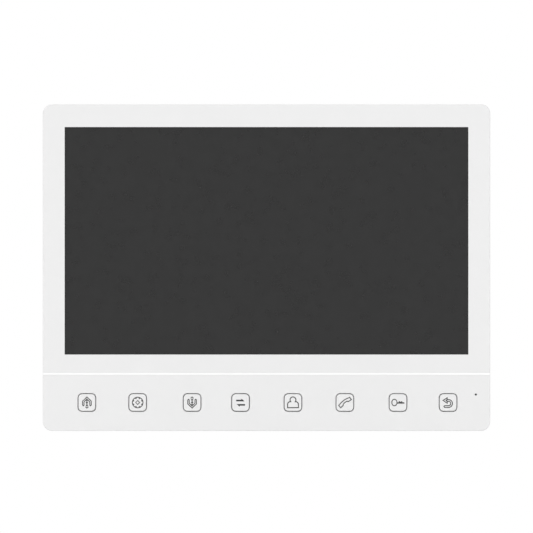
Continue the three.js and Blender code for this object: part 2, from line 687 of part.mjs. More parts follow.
function keycap() {
  const cap = roundedRectangle(-KEYCAP_HALF, KEYCAP_HALF, -KEYCAP_HALF, KEYCAP_HALF, KEYCAP_RADIUS);
  const topY = [KEYCAP_FRONT_Y, KEYCAP_FLANGE_Y[0] + KEYCAP_EDGE + CLOSE_FIT];
  const top = plate(cap, topY, { round: KEYCAP_EDGE, roundSteps: 2, arcSteps: KEY_ARC_STEPS });
  const half = KEYCAP_FLANGE_HALF;
  const flangeOutline = roundedRectangle(-half, half, -half, half, KEYCAP_FLANGE_CORNER);
  const flange = plate(flangeOutline, KEYCAP_FLANGE_Y, { arcSteps: SMALL_ARC_STEPS });
  const post = rod(0, 0, KEYCAP_POST_RADIUS, [KEYCAP_FLANGE_Y[0] + CLOSE_FIT, KEYCAP_POST_BACK_Y]);
  return joined([top, flange, post]);
}

function switchBody() {
  const body = block(-SWITCH_HALF, SWITCH_HALF, ...SWITCH_Y, -SWITCH_HALF, SWITCH_HALF);
  return body.subtract(rod(0, 0, SWITCH_BORE_RADIUS, [SWITCH_Y[0] - PAST, SWITCH_BORE_BACK_Y]));
}

// ---------------------------------------------------------------- microphone, loudspeaker, screws

function micBoot() {
  const bore = MIC_CAPSULE.radius + CLOSE_FIT;
  return cutBy(rod(0, 0, MIC_BOOT.radius, MIC_BOOT.y, ROUND_SIDES), [
    rod(0, 0, bore, [MIC_CAPSULE.y[0] - CLOSE_FIT, MIC_BOOT.y[1] + PAST], ROUND_SIDES),
    rod(0, 0, MIC_BOOT.soundHole, [MIC_BOOT.y[0] - PAST, MIC_BOOT.y[1]], HOLE_SIDES),
  ]);
}

// Each outline is a closed row of [radius, y] points.
const SPEAKER_BASKET = [
  [0, -10.8], [10, -10.8], [10.6, -10.2], [16, -4.9], [SPEAKER_RADIUS, -4.9],
  [SPEAKER_RADIUS, -3.95], [15.4, -3.95], [9.8, -9.9], [0, -9.9],
];
const SPEAKER_CONE = [
  [0, -6.6], [2, -6.8], [3.9, -7.4], [5.2, -8.4], [12.4, -4.7], [13.4, -4.1], [14.2, -4.6],
  [14.2, -4.2], [13.4, -3.6], [12.4, -4.2], [5.2, -7.8], [4, -6.9], [2.2, -6.3], [0, -6.1],
];
const SPEAKER_MAGNET = [[0, -15], [9, -15], [9.5, -14.6], [9.5, -10.85], [0, -10.85]];

function speakerGasket() {
  const { outer, inner, y } = SPEAKER_GASKET;
  const ring = rod(SPEAKER_X, SPEAKER_Z, outer, y, SPEAKER_SIDES);
  return ring.subtract(rod(SPEAKER_X, SPEAKER_Z, inner, [y[0] - PAST, y[1] + PAST], SPEAKER_SIDES));
}

// A pan-head screw whose head faces the wall, with a cross recess.
function screw(seatY, { headRadius, headHeight, shankRadius, length }) {
  const shoulderY = seatY + 0.6 * headHeight;
  const topY = seatY + headHeight;
  const shankTopY = seatY + 0.2 * headHeight;
  const tipY = seatY - length;
  const head = turned(0, 0, [
    [0, seatY + CLOSE_FIT], [headRadius, seatY + CLOSE_FIT], [headRadius, shoulderY],
    [0.7 * headRadius, topY], [0, topY],
  ], ROD_SIDES);
  const shank = turned(0, 0, [
    [0, tipY], [0.6 * shankRadius, tipY], [shankRadius, tipY + shankRadius],
    [shankRadius, shankTopY], [0, shankTopY],
  ], SHANK_SIDES);
  const recessY = [seatY + 0.45 * headHeight, topY + PAST];
  const crossHalf = 0.62 * headRadius;
  const slotHalf = 0.13 * headRadius;
  return cutBy(head.add(shank), [
    block(-crossHalf, crossHalf, ...recessY, -slotHalf, slotHalf),
    block(-slotHalf, slotHalf, ...recessY, -crossHalf, crossHalf),
  ]);
}

// ---------------------------------------------------------------- assembly

const monitor = new THREE.Group();
addPiece(monitor, "wall_bracket", wallBracket(), STEEL);

const housing = subgroup(monitor);
addPiece(housing, "front_bezel", frontBezel(), WHITE_PLASTIC);
addPiece(housing, "key_panel", keyPanel(), WHITE_PLASTIC);
addPiece(housing, "divider_trim", dividerTrim(), GLOSSY_WHITE);
addPiece(housing, "rear_cover", rearCover(), WHITE_PLASTIC);

addPiece(housing, "lcd_panel", lcdPanel(), SCREEN);
addPiece(housing, "screen_gasket", screenGasket(), FOAM);
addPiece(housing, "backlight_unit", backlightUnit(), BACKLIGHT_FILM);
addPiece(housing, "lcd_tray", lcdTray(), STEEL);

addPiece(housing, "main_board", mainBoard(), BOARD);
addPiece(housing, "soc_chip", chip(CHIP), BLACK_PLASTIC);
addPiece(housing, "capacitor", can(CAPACITOR), ALUMINIUM);
addPiece(housing, "power_inductor", chip(INDUCTOR), FERRITE);
BUS_SOCKET_X.forEach((x, i) => {
  const place = subgroup(housing, x, BUS_SOCKET_Z);
  addPiece(place, `bus_socket_${i + 1}`, socket(BUS_SOCKET_HALF_WIDTH), IVORY_PLASTIC);
});
const powerPlace = subgroup(housing, 0, POWER_SOCKET_Z);
addPiece(powerPlace, "power_socket", socket(POWER_SOCKET_HALF_WIDTH), IVORY_PLASTIC);
addPiece(housing, "lcd_flex", flatCable(LCD_FLEX), AMBER_FILM);
addPiece(housing, "key_flex", flatCable(KEY_FLEX), PALE_FILM);

addPiece(housing, "key_board", keyBoard(), BOARD);
KEY_BOARD_SCREW_X.forEach((x, i) => {
  const place = subgroup(housing, x, KEY_Z);
  addPiece(place, `key_board_screw_${i + 1}`, screw(KEY_BOARD_Y[1], KEY_BOARD_SCREW), STEEL);
});

KEY_NAMES.forEach((name, i) => {
  const place = subgroup(housing, KEY_X[i], KEY_Z);
  addPiece(place, `keycap_${name}`, keycap(), WHITE_PLASTIC);
  addPiece(place, `plunger_${name}`, rod(0, 0, PLUNGER_RADIUS, PLUNGER_Y), BLACK_PLASTIC);
  addPiece(place, `switch_body_${name}`, switchBody(), SWITCH_PLASTIC);
});

const micPlace = subgroup(housing, MIC_X, MIC_Z);
addPiece(micPlace, "mic_boot", micBoot(), RUBBER);
const micCapsule = rod(0, 0, MIC_CAPSULE.radius, MIC_CAPSULE.y, ROUND_SIDES);
addPiece(micPlace, "mic_capsule", micCapsule, CAPSULE_METAL);

addPiece(housing, "speaker_basket", turned(SPEAKER_X, SPEAKER_Z, SPEAKER_BASKET), STEEL);
addPiece(housing, "speaker_cone", turned(SPEAKER_X, SPEAKER_Z, SPEAKER_CONE), BLACK_PAPER);
addPiece(housing, "speaker_magnet", turned(SPEAKER_X, SPEAKER_Z, SPEAKER_MAGNET), MAGNET);
addPiece(housing, "speaker_gasket", speakerGasket(), FOAM);

[["top", CASE_SCREW_Z], ["bottom", -CASE_SCREW_Z]].forEach(([row, z]) => {
  ["left", "middle", "right"].forEach((column, i) => {
    const place = subgroup(housing, CASE_SCREW_X[i], z);
    addPiece(place, `case_screw_${row}_${column}`, screw(CASE_SCREW_SEAT_Y, CASE_SCREW), STEEL);
  });
});

export default monitor;
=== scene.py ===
"""Looks of a wall-mounted video intercom monitor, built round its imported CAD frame, in metres."""

import json
import math

import bmesh
import bpy
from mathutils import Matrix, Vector


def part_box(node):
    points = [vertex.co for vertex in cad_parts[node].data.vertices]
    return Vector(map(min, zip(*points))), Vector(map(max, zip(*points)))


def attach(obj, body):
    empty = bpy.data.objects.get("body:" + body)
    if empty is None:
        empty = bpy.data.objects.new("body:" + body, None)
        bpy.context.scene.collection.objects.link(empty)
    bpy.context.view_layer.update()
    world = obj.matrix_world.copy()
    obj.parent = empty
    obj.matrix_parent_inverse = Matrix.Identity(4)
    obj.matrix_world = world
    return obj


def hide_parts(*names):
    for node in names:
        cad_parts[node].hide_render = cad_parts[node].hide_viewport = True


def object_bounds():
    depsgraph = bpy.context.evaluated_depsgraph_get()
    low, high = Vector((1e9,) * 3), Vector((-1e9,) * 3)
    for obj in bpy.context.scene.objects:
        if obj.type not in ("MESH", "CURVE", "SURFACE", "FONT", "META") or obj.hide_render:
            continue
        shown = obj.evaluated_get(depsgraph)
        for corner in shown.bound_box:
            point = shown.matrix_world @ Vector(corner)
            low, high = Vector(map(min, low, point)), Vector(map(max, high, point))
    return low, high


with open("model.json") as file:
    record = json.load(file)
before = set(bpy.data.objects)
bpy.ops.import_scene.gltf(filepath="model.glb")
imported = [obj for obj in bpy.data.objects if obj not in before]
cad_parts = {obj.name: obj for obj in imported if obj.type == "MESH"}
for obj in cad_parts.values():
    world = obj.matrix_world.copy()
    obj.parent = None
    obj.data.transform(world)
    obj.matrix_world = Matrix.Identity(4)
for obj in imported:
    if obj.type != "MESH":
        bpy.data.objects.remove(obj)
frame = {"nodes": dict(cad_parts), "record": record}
cad_low, cad_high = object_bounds()

MM = 0.001
NODES = frame["nodes"]
RECORD = frame["record"]
SLOT_OF = {row["node"]: row["material_slot"] for row in RECORD["subparts"]}
BODY_OF = {node: body for body, names in RECORD["behaviour"]["bodies"].items() for node in names}
KEY_NAMES = [node[len("keycap_"):] for node in NODES if node.startswith("keycap_")]

# ---------------------------------------------------------------- node materials

WAVE_PHASE = 20  # the Wave texture's phase in radians, for each unit of scaled length
EDGE_SAMPLES = 4
FLAT, TURNED = 0.995, 0.9  # cosines between a rounded normal and its face's own, on a face and on an edge


def grey(level):
    return (level, level, level)


def shade(colour, factor):
    return tuple(min(channel * factor, 1.0) for channel in colour)


class Surface:
    """A principled material whose colour, roughness and bump come from procedural nodes."""

    def __init__(self, name, roughness=0.5, metallic=0.0, coat=0.0, ior=1.5):
        self.material = bpy.data.materials.new(name)
        self.material.use_nodes = True
        self.tree = self.material.node_tree
        self.shader = self.tree.nodes["Principled BSDF"]
        self.shader.inputs["Roughness"].default_value = roughness
        self.shader.inputs["Metallic"].default_value = metallic
        self.shader.inputs["Coat Weight"].default_value = coat
        self.shader.inputs["IOR"].default_value = ior
        coordinates = self.tree.nodes.new("ShaderNodeTexCoord")
        self.place = coordinates.outputs["Object"]
        self.height = None

    def link(self, output, node, socket):
        self.tree.links.new(output, node.inputs[socket])

    def stretched(self, along):
        """The object's coordinates, scaled so that a pattern runs longer or shorter along an axis."""
        mapping = self.tree.nodes.new("ShaderNodeMapping")
        mapping.inputs["Scale"].default_value = along
        self.link(self.place, mapping, "Vector")
        return mapping.outputs["Vector"]

    def noise(self, feature, detail=3.0, place=None):
        """Soft noise whose features are about this long."""
        node = self.tree.nodes.new("ShaderNodeTexNoise")
        node.inputs["Scale"].default_value = 1 / feature
        node.inputs["Detail"].default_value = detail
        self.link(place or self.place, node, "Vector")
        return node.outputs["Fac"]

    def cells(self, size):
        """Distance from the middle of the nearest grain, in grains of about this size."""
        node = self.tree.nodes.new("ShaderNodeTexVoronoi")
        node.inputs["Scale"].default_value = 1 / size
        self.link(self.place, node, "Vector")
        return node.outputs["Distance"]

    def region(self, size):
        """One random level in each square-edged region of about this size."""
        node = self.tree.nodes.new("ShaderNodeTexVoronoi")
        node.distance = "CHEBYCHEV"
        node.inputs["Scale"].default_value = 1 / size
        self.link(self.place, node, "Vector")
        levels = self.tree.nodes.new("ShaderNodeSeparateColor")
        self.link(node.outputs["Color"], levels, "Color")
        return levels.outputs["Red"]

    def bands(self, width, direction):
        """Parallel lines across an axis, one for each width."""
        node = self.tree.nodes.new("ShaderNodeTexWave")
        node.bands_direction = direction
        node.inputs["Scale"].default_value = 2 * math.pi / (WAVE_PHASE * width)
        self.link(self.place, node, "Vector")
        return node.outputs["Fac"]

    def spread(self, value, low, high, to_low=0.0, to_high=1.0):
        """A smooth step between two levels as the value goes from low to high."""
        node = self.tree.nodes.new("ShaderNodeMapRange")
        node.interpolation_type = "SMOOTHSTEP"
        node.inputs["From Min"].default_value = low
        node.inputs["From Max"].default_value = high
        node.inputs["To Min"].default_value = to_low
        node.inputs["To Max"].default_value = to_high
        self.link(value, node, "Value")
        return node.outputs["Result"]

    def combined(self, first, second, operation="ADD"):
        """Two outputs joined by a Math node's operation."""
        node = self.tree.nodes.new("ShaderNodeMath")
        node.operation = operation
        self.link(first, node, 0)
        self.link(second, node, 1)
        return node.outputs["Value"]

    def mixed(self, factor, first, second):
        """A colour between two, each an output or three numbers."""
        node = self.tree.nodes.new("ShaderNodeMix")
        node.data_type = "RGBA"
        self.link(factor, node, 0)
        # A Mix node set to colours takes them on its sockets 6 and 7, and gives its colour on output 2.
        for socket, value in ((6, first), (7, second)):
            if isinstance(value, tuple):
                node.inputs[socket].default_value = (*value, 1)
            else:
                self.link(value, node, socket)
        return node.outputs[2]

    def edges(self, radius):
        """One along the edges and zero on flat faces, from how far a rounded normal leans."""
        rounded = self.tree.nodes.new("ShaderNodeBevel")
        rounded.samples = EDGE_SAMPLES
        rounded.inputs["Radius"].default_value = radius
        geometry = self.tree.nodes.new("ShaderNodeNewGeometry")
        dot = self.tree.nodes.new("ShaderNodeVectorMath")
        dot.operation = "DOT_PRODUCT"
        self.link(rounded.outputs["Normal"], dot, 0)
        self.link(geometry.outputs["Normal"], dot, 1)
        return self.spread(dot.outputs["Value"], FLAT, TURNED)

    def colour(self, output):
        self.link(output, self.shader, "Base Color")

    def gloss(self, output):
        self.link(output, self.shader, "Roughness")

    def relief(self, output, depth):
        """Adds a bump of this depth on top of the ones before it."""
        node = self.tree.nodes.new("ShaderNodeBump")
        node.inputs["Distance"].default_value = depth
        self.link(output, node, "Height")
        if self.height is not None:
            self.link(self.height, node, "Normal")
        self.height = node.outputs["Normal"]
        self.link(self.height, self.shader, "Normal")


def moulded_plastic(
    name, colour, roughness, grain=0.22 * MM, depth=0.006 * MM, mottling=0.012, ior=1.5
):
    """Injection-moulded plastic: a fine eroded grain, faint cloudiness and patches of uneven gloss."""
    surface = Surface(name, roughness, ior=ior)
    cloud = surface.noise(18 * MM, 4)
    surface.colour(surface.mixed(cloud, shade(colour, 1 - mottling), shade(colour, 1 + mottling)))
    fine = surface.noise(grain, 2)
    coarse = surface.noise(4 * grain, 3)
    surface.relief(fine, depth)
    surface.relief(coarse, 1.5 * depth)
    patch = surface.noise(7 * MM, 3)
    surface.gloss(surface.spread(patch, 0.3, 0.7, roughness - 0.05, roughness + 0.05))
    return surface.material


def plated_steel(name, colour, roughness, along):
    """Zinc-plated sheet: rolling marks, a faint spangle, and bright worn edges."""
    surface = Surface(name, roughness, metallic=1.0)
    lines = surface.noise(0.22 * MM, 4, surface.stretched(along))
    grains = surface.cells(2.4 * MM)
    cloud = surface.noise(30 * MM, 3)
    body = surface.mixed(cloud, shade(colour, 0.94), shade(colour, 1.05))
    rolled = surface.mixed(surface.spread(lines, 0.35, 0.65), body, shade(colour, 1.1))
    flecked = surface.mixed(surface.spread(grains, 0.1, 0.9, 0.0, 0.16), rolled, shade(colour, 1.2))
    worn = surface.mixed(surface.edges(0.5 * MM), flecked, shade(colour, 1.4))
    surface.colour(worn)
    surface.gloss(surface.spread(lines, 0.3, 0.7, roughness - 0.1, roughness + 0.1))
    surface.relief(lines, 0.01 * MM)
    return surface.material


def turned_steel(name, colour):
    """Turned or drawn metal, such as a screw or a can: fine marks and darker stains."""
    surface = Surface(name, 0.32, metallic=1.0)
    marks = surface.noise(0.12 * MM, 3)
    stain = surface.noise(1.6 * MM, 4)
    surface.colour(surface.mixed(stain, shade(colour, 0.7), shade(colour, 1.15)))
    surface.gloss(surface.spread(marks, 0.3, 0.7, 0.24, 0.42))
    surface.relief(marks, 0.004 * MM)
    return surface.material


def circuit_board(name):
    """Solder mask over copper: lighter tracks, a few tinned pads, and the glass weave under the lacquer."""
    surface = Surface(name, 0.32, coat=0.3)
    mask, track, tin = (0.007, 0.072, 0.028), (0.012, 0.115, 0.045), (0.62, 0.62, 0.6)
    region = surface.region(11 * MM)
    runs_up = surface.spread(region, 0.34, 0.35)
    runs_across = surface.spread(region, 0.66, 0.65)
    track_pitch = 0.9 * MM
    columns = surface.spread(surface.bands(track_pitch, "X"), 0.5, 0.62)
    rows = surface.spread(surface.bands(track_pitch, "Z"), 0.5, 0.62)
    upright = surface.combined(columns, runs_up, "MULTIPLY")
    level = surface.combined(rows, runs_across, "MULTIPLY")
    either = surface.combined(upright, level, "MAXIMUM")
    has_tracks = surface.combined(runs_up, runs_across)
    tracks = surface.spread(surface.combined(either, has_tracks, "MULTIPLY"), 0.4, 1.4)
    pads = surface.spread(surface.cells(2.6 * MM), 0.15, 0.13)
    chosen = surface.spread(surface.noise(6 * MM, 1), 0.56, 0.6)
    pads = surface.combined(pads, chosen, "MULTIPLY")
    cloud = surface.noise(25 * MM, 3)
    lacquer = surface.mixed(cloud, shade(mask, 0.9), shade(mask, 1.15))
    surface.colour(surface.mixed(pads, surface.mixed(tracks, lacquer, track), tin))
    thread = 0.4 * MM
    weave = surface.combined(surface.bands(thread, "X"), surface.bands(thread, "Z"))
    surface.relief(tracks, 0.02 * MM)
    surface.relief(weave, 0.001 * MM)
    surface.gloss(surface.spread(pads, 0.0, 1.0, 0.3, 0.2))
    return surface.material


def screen_glass(name):
    """A dark display behind an anti-glare film that sparkles faintly."""
    surface = Surface(name, 0.3, ior=1.45)
    haze = surface.noise(30 * MM, 2)
    surface.colour(surface.mixed(haze, grey(0.0077), grey(0.0086)))
    sparkle = surface.noise(0.09 * MM, 1)
    surface.relief(sparkle, 0.0012 * MM)
    surface.gloss(surface.spread(surface.noise(5 * MM, 3), 0.3, 0.7, 0.27, 0.33))
    return surface.material


def speckled(name, colour, fleck, size, roughness, depth):
    """A grainy solid, such as ferrite, foam or treated paper."""
    surface = Surface(name, roughness)
    grains = surface.cells(size)
    cloud = surface.noise(5 * size, 4)
    factor = surface.combined(surface.spread(grains, 0.2, 0.8), cloud, "MULTIPLY")
    surface.colour(surface.mixed(factor, colour, fleck))
    surface.relief(grains, depth)
    surface.gloss(surface.spread(cloud, 0.3, 0.7, roughness - 0.06, roughness + 0.06))
    return surface.material


def striped_film(name, film, conductor, pitch):
    """A flat cable: conductors showing through a plastic film."""
    surface = Surface(name, 0.3, coat=0.4)
    lines = surface.spread(surface.bands(pitch, "X"), 0.45, 0.6)
    surface.colour(surface.mixed(lines, film, conductor))
    surface.relief(lines, 0.02 * MM)
    surface.gloss(surface.spread(surface.noise(3 * MM, 3), 0.3, 0.7, 0.25, 0.35))
    return surface.material


WHITE = grey(0.79)
BRIGHT = grey(0.985)
STEEL = (0.52, 0.53, 0.54)
LOOKS = {
    "case_plastic": (moulded_plastic, dict(colour=WHITE, roughness=0.5)),
    "key_plastic": (moulded_plastic, dict(colour=WHITE, roughness=0.45, grain=0.18 * MM)),
    "trim_plastic": (moulded_plastic, dict(
        colour=BRIGHT, roughness=0.22, depth=0.001 * MM, mottling=0.004, ior=1.35,
    )),
    "screen_glass": (screen_glass, {}),
    "backlight_film": (moulded_plastic, dict(colour=(0.82, 0.82, 0.8), roughness=0.6)),
    "tray_steel": (plated_steel, dict(colour=STEEL, roughness=0.36, along=(1, 1, 0.03))),
    "bracket_steel": (plated_steel, dict(colour=STEEL, roughness=0.32, along=(0.03, 1, 1))),
    "screw_steel": (turned_steel, dict(colour=(0.5, 0.51, 0.53))),
    "circuit_board": (circuit_board, {}),
    "chip_plastic": (speckled, dict(
        colour=(0.014, 0.014, 0.015), fleck=(0.035, 0.035, 0.036), size=0.3 * MM,
        roughness=0.5, depth=0.01 * MM,
    )),
    "capacitor_can": (turned_steel, dict(colour=(0.66, 0.67, 0.68))),
    "ferrite": (speckled, dict(
        colour=(0.03, 0.03, 0.033), fleck=(0.09, 0.09, 0.095), size=0.25 * MM,
        roughness=0.55, depth=0.03 * MM,
    )),
    "socket_nylon": (moulded_plastic, dict(colour=(0.68, 0.63, 0.5), roughness=0.42, grain=0.12 * MM)),
    "flex_film": (striped_film, dict(
        film=(0.32, 0.12, 0.015), conductor=(0.52, 0.25, 0.05), pitch=0.5 * MM,
    )),
    "ribbon_film": (striped_film, dict(
        film=(0.66, 0.68, 0.7), conductor=(0.42, 0.43, 0.45), pitch=1 * MM,
    )),
    "boot_rubber": (speckled, dict(
        colour=grey(0.012), fleck=grey(0.022), size=0.2 * MM, roughness=0.75, depth=0.008 * MM,
    )),
    "capsule_can": (turned_steel, dict(colour=(0.6, 0.61, 0.62))),
    "cone_paper": (speckled, dict(
        colour=grey(0.02), fleck=(0.05, 0.048, 0.045), size=0.35 * MM, roughness=0.8, depth=0.04 * MM,
    )),
    "gasket_foam": (speckled, dict(
        colour=(0.02, 0.02, 0.022), fleck=grey(0.006), size=0.4 * MM, roughness=0.9, depth=0.1 * MM,
    )),
    "plunger_plastic": (moulded_plastic, dict(colour=grey(0.02), roughness=0.4)),
    "switch_plastic": (moulded_plastic, dict(colour=(0.028, 0.028, 0.03), roughness=0.45)),
}
MATERIALS = {slot: recipe(slot, **options) for slot, (recipe, options) in LOOKS.items()}


def ink(name, level):
    """Printed ink: a thin, slightly uneven film."""
    surface = Surface(name, 0.5)
    patchy = surface.noise(0.35 * MM, 3)
    surface.colour(surface.mixed(patchy, grey(level * 0.85), grey(level * 1.2)))
    surface.relief(surface.noise(0.12 * MM, 2), 0.003 * MM)
    surface.gloss(surface.spread(patchy, 0.3, 0.7, 0.44, 0.58))
    return surface.material


# ---------------------------------------------------------------- CAD pieces with softened edges


def mesh_piece(name, mesh, material, body):
    """A bmesh as a shaded object that rides on a body."""
    data = bpy.data.meshes.new(name)
    mesh.to_mesh(data)
    mesh.free()
    data.materials.append(material)
    piece = bpy.data.objects.new(name, data)
    bpy.context.scene.collection.objects.link(piece)
    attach(piece, body)
    return piece


SHARP = math.radians(35)  # edges that turn by more than this are rounded
COPLANAR = math.radians(0.5)  # faces that turn by less than this are joined
SAME_POINT = 0.001 * MM


def soften(piece, edge):
    """Rounds a piece's sharp edges and keeps its flat faces flat."""
    bevel = piece.modifiers.new("soft_edges", "BEVEL")
    bevel.width = edge
    bevel.segments = 2
    bevel.limit_method = "ANGLE"
    bevel.angle_limit = SHARP
    normals = piece.modifiers.new("flat_faces", "WEIGHTED_NORMAL")
    normals.keep_sharp = True


def softened(node, edge):
    """The CAD node's own shape with its sharp edges rounded, as a mould or a press leaves them."""
    mesh = bmesh.new()
    mesh.from_mesh(NODES[node].data)
    bmesh.ops.remove_doubles(mesh, verts=mesh.verts, dist=SAME_POINT)
    bmesh.ops.dissolve_limit(
        mesh, angle_limit=COPLANAR, use_dissolve_boundaries=False, verts=mesh.verts, edges=mesh.edges
    )
    for face in mesh.faces:
        face.smooth = True
    piece = mesh_piece(node + "_finished", mesh, MATERIALS[SLOT_OF[node]], BODY_OF[node])
    soften(piece, edge)
    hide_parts(node)


EDGE_OF_SLOT = {
    "case_plastic": 0.22 * MM,
    "key_plastic": 0.1 * MM,
    "trim_plastic": 0.03 * MM,
    "screen_glass": 0.1 * MM,
    "tray_steel": 0.12 * MM,
    "bracket_steel": 0.2 * MM,
    "screw_steel": 0.06 * MM,
    "circuit_board": 0.06 * MM,
    "flex_film": 0.03 * MM,
    "ribbon_film": 0.03 * MM,
}
USUAL_EDGE = 0.12 * MM
CRISP_EDGE = 0.06 * MM  # on the shells that meet the strip and the keys closely
EDGE_OF_NODE = {"front_bezel": CRISP_EDGE, "key_panel": CRISP_EDGE}

for node_name in NODES:
    usual = EDGE_OF_SLOT.get(SLOT_OF[node_name], USUAL_EDGE)
    softened(node_name, EDGE_OF_NODE.get(node_name, usual))

# ---------------------------------------------------------------- small hardware inside the case

SINK = 0.05 * MM  # a part's foot goes this far into what it stands on
BOARD_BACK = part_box("main_board")[1].y
BOARD_FOOT = BOARD_BACK - SINK
SCREW_SIDES = 36
PAN_HEAD = ((1.0, 0.5), (0.93, 0.74), (0.82, 0.92), (0.7, 1.0))  # shares of the radius and of the height
CROSS_REACH, CROSS_HALF, CROSS_FLOOR = 0.6, 0.14, 0.4  # shares of the radius, and of the height
BOARD_SCREW = {"radius": 2 * MM, "height": 1.3 * MM}
BOARD_SCREW_INSET = 6 * MM
TRAY_SCREW = {"radius": 1.7 * MM, "height": 1.1 * MM}
TRAY_SCREW_INSET = 2 * MM
TRAY_SCREW_Z = (60 * MM, -35 * MM)
TRAY_BEHIND_BACKLIGHT = 1.1 * MM  # to the back of the tray's floor
BUS_SOCKETS = range(1, 5)
PIN_PITCH = 2.5 * MM
FELT_RADIUS = 0.95 * MM
FELT_DEPTH = 0.45 * MM


def prism(mesh, outline, y0, y1):
    """A closed solid from an outline of (x, z) points, between two depths."""
    stacked(mesh, [(outline, y0), (outline, y1)])


def brick(mesh, x, z, width, height, y0, y1):
    """A box, by the middle and size of its outline and its two depths."""
    half_x, half_z = width / 2, height / 2
    corners = [(-half_x, -half_z), (half_x, -half_z), (half_x, half_z), (-half_x, half_z)]
    prism(mesh, [(x + dx, z + dz) for dx, dz in corners], y0, y1)


def circle(x, z, radius, sides):
    """An outline with flats rather than corners at its top and sides."""
    angles = [2 * math.pi * (i + 0.5) / sides for i in range(sides)]
    return [(x + radius * math.cos(a), z + radius * math.sin(a)) for a in angles]


def ring_at(mesh, outline, y):
    return [mesh.verts.new((x, y, z)) for x, z in outline]


def walls(mesh, rings):
    """Four-sided faces between each ring of corners and the next."""
    for lower, upper in zip(rings, rings[1:]):
        for i in range(len(lower)):
            j = (i + 1) % len(lower)
            mesh.faces.new((lower[j], lower[i], upper[i], upper[j]))


def stacked(mesh, layers):
    """Closes a pile of (outline, y) layers of equal count into one solid."""
    rings = [ring_at(mesh, outline, y) for outline, y in layers]
    mesh.faces.new(rings[0])
    mesh.faces.new(rings[-1][::-1])
    walls(mesh, rings)


def hardware(name, mesh, slot, edge=0.04 * MM):
    """Finishes a mesh of small parts as one piece of the housing."""
    bmesh.ops.recalc_face_normals(mesh, faces=mesh.faces)
    piece = mesh_piece(name, mesh, MATERIALS[slot], "housing")
    soften(piece, edge)


def cross(x, z, reach, half):
    """A cross-shaped outline with twelve corners."""
    quarter = [(reach, half), (half, half), (half, reach)]
    points = []
    for turn in range(4):
        angle = turn * math.pi / 2
        c, s = math.cos(angle), math.sin(angle)
        points += [(x + px * c - pz * s, z + px * s + pz * c) for px, pz in quarter]
    return points


def rim_edges(mesh, ring):
    return [mesh.edges.get((ring[i], ring[(i + 1) % len(ring)])) for i in range(len(ring))]


def cross_head_screw(mesh, x, z, seat, radius, height):
    """A pan head with a cross recess."""
    rings = [
        ring_at(mesh, circle(x, z, share * radius, SCREW_SIDES), seat + rise * height)
        for share, rise in ((1.0, -SINK / height), *PAN_HEAD)
    ]
    mesh.faces.new(rings[0])
    walls(mesh, rings)
    recess = cross(x, z, CROSS_REACH * radius, CROSS_HALF * radius)
    mouth, floor = (ring_at(mesh, recess, seat + rise * height) for rise in (1.0, CROSS_FLOOR))
    for i in range(len(recess)):
        j = (i + 1) % len(recess)
        mesh.faces.new((mouth[i], mouth[j], floor[j], floor[i]))
    mesh.faces.new(floor)
    bmesh.ops.bridge_loops(mesh, edges=rim_edges(mesh, rings[-1]) + rim_edges(mesh, mouth))


def screws(name, places, seat, radius, height):
    mesh = bmesh.new()
    for x, z in places:
        cross_head_screw(mesh, x, z, seat, radius, height)
    hardware(name, mesh, "screw_steel", 0.03 * MM)


def corners_inside(node, inset):
    """Four places, in from the corners of a node's box."""
    low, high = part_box(node)
    return [(x, z) for x in (low.x + inset, high.x - inset) for z in (low.z + inset, high.z - inset)]


def socket_pins(node, count):
    """Square pins with tapered tips that stand on a socket's floor."""
    low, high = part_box(node)
    middle = (low + high) / 2
    half = 0.3 * MM
    root, tip = low.y + 0.6 * MM, high.y - 1.9 * MM
    shoulder = tip - 0.5 * MM
    tip_share = 0.45
    square = [(-half, -half), (half, -half), (half, half), (-half, half)]
    mesh = bmesh.new()
    for i in range(count):
        x = middle.x + (i - (count - 1) / 2) * PIN_PITCH
        stacked(mesh, [
            ([(x + share * dx, middle.z + share * dz) for dx, dz in square], y)
            for share, y in ((1, root), (1, shoulder), (tip_share, tip))
        ])
    hardware(node + "_pins", mesh, "capsule_can", 0.03 * MM)


def legged_chip(bodies, legs, x, z, width, height, thick, pins):
    """A chip body with a row of bent legs along its left and right sides."""
    brick(bodies, x, z, width, height, BOARD_BACK + 0.1 * MM, BOARD_BACK + thick)
    leg_width = 0.4 * MM
    shoulder_top, toe_top = BOARD_BACK + 0.5 * thick, BOARD_BACK + 0.22 * MM
    for side in (-1, 1):
        edge = x + side * width / 2
        for i in range(pins):
            leg_z = z + (i - (pins - 1) / 2) * height / pins
            brick(legs, edge + side * 0.2 * MM, leg_z, 0.5 * MM, leg_width, BOARD_FOOT, shoulder_top)
            brick(legs, edge + side * 0.75 * MM, leg_z, 0.8 * MM, leg_width, BOARD_FOOT, toe_top)


def chip_component(bodies, ends, x, z, upright, thick=0.55 * MM):
    """A two-ended surface-mounted part, whose ends stand just outside its body."""
    long, short, cap = 1.7 * MM, 0.9 * MM, 0.4 * MM
    end_width = 1.08 * short
    end_top = BOARD_BACK + thick + 0.04 * MM
    size = (short, long) if upright else (long, short)
    end_size = (end_width, cap) if upright else (cap, end_width)
    brick(bodies, x, z, *size, BOARD_FOOT, BOARD_BACK + thick)
    for side in (-1, 1):
        shift = side * (long - cap) / 2
        place = (x, z + shift) if upright else (x + shift, z)
        brick(ends, *place, *end_size, BOARD_FOOT, end_top)


